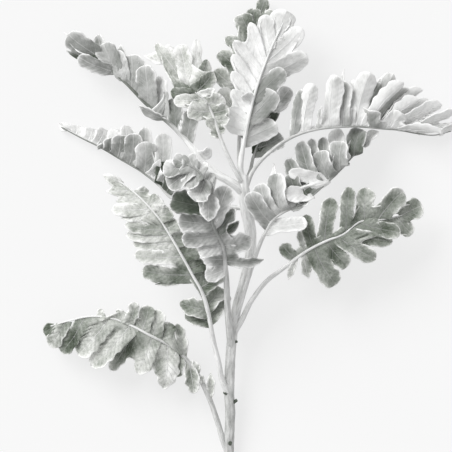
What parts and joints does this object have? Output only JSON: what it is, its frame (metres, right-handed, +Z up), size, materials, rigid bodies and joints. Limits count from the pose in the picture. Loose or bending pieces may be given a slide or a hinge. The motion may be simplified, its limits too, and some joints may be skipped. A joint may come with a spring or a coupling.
{
  "type": "dusty miller stem",
  "caption": "Cut stem of dusty miller with deeply lobed, silver-felted fronds, lying on a surface.",
  "frame": {"origin": "Middle of the plant's outline on the surface that it lies on.", "axes": "+Z is up, away from the surface. +Y runs from the cut end of the stem to its growing tip. +X is to the right when the cut end is nearest."},
  "size_m": [0.2514, 0.2863, 0.0781],
  "materials": {
    "felted_stem": "soft grey-white felt over ridged green-grey bark, matt",
    "leaf_green_face": "matt grey-green leaf face with mottled silver felt, pale veins and a white felted margin",
    "leaf_grey": "matt mid-grey felted leaf with pale margin",
    "leaf_white_felt": "near-white dense felt of the leaf underside, matt and soft"
  },
  "bodies": {
    "root": {"stem": "felted_stem", "leaf_lower_left": "leaf_green_face", "leaf_left": "leaf_green_face", "leaf_far_left": "leaf_grey", "leaf_upper_left": "leaf_grey", "leaf_young_left": "leaf_green_face", "leaf_crinkled": "leaf_grey", "leaf_top_white": "leaf_white_felt", "leaf_top_back": "leaf_green_face", "leaf_back_right": "leaf_grey", "leaf_upper_right": "leaf_white_felt", "leaf_middle_right": "leaf_grey", "leaf_lower_right": "leaf_green_face"}
  },
  "joints": []
}
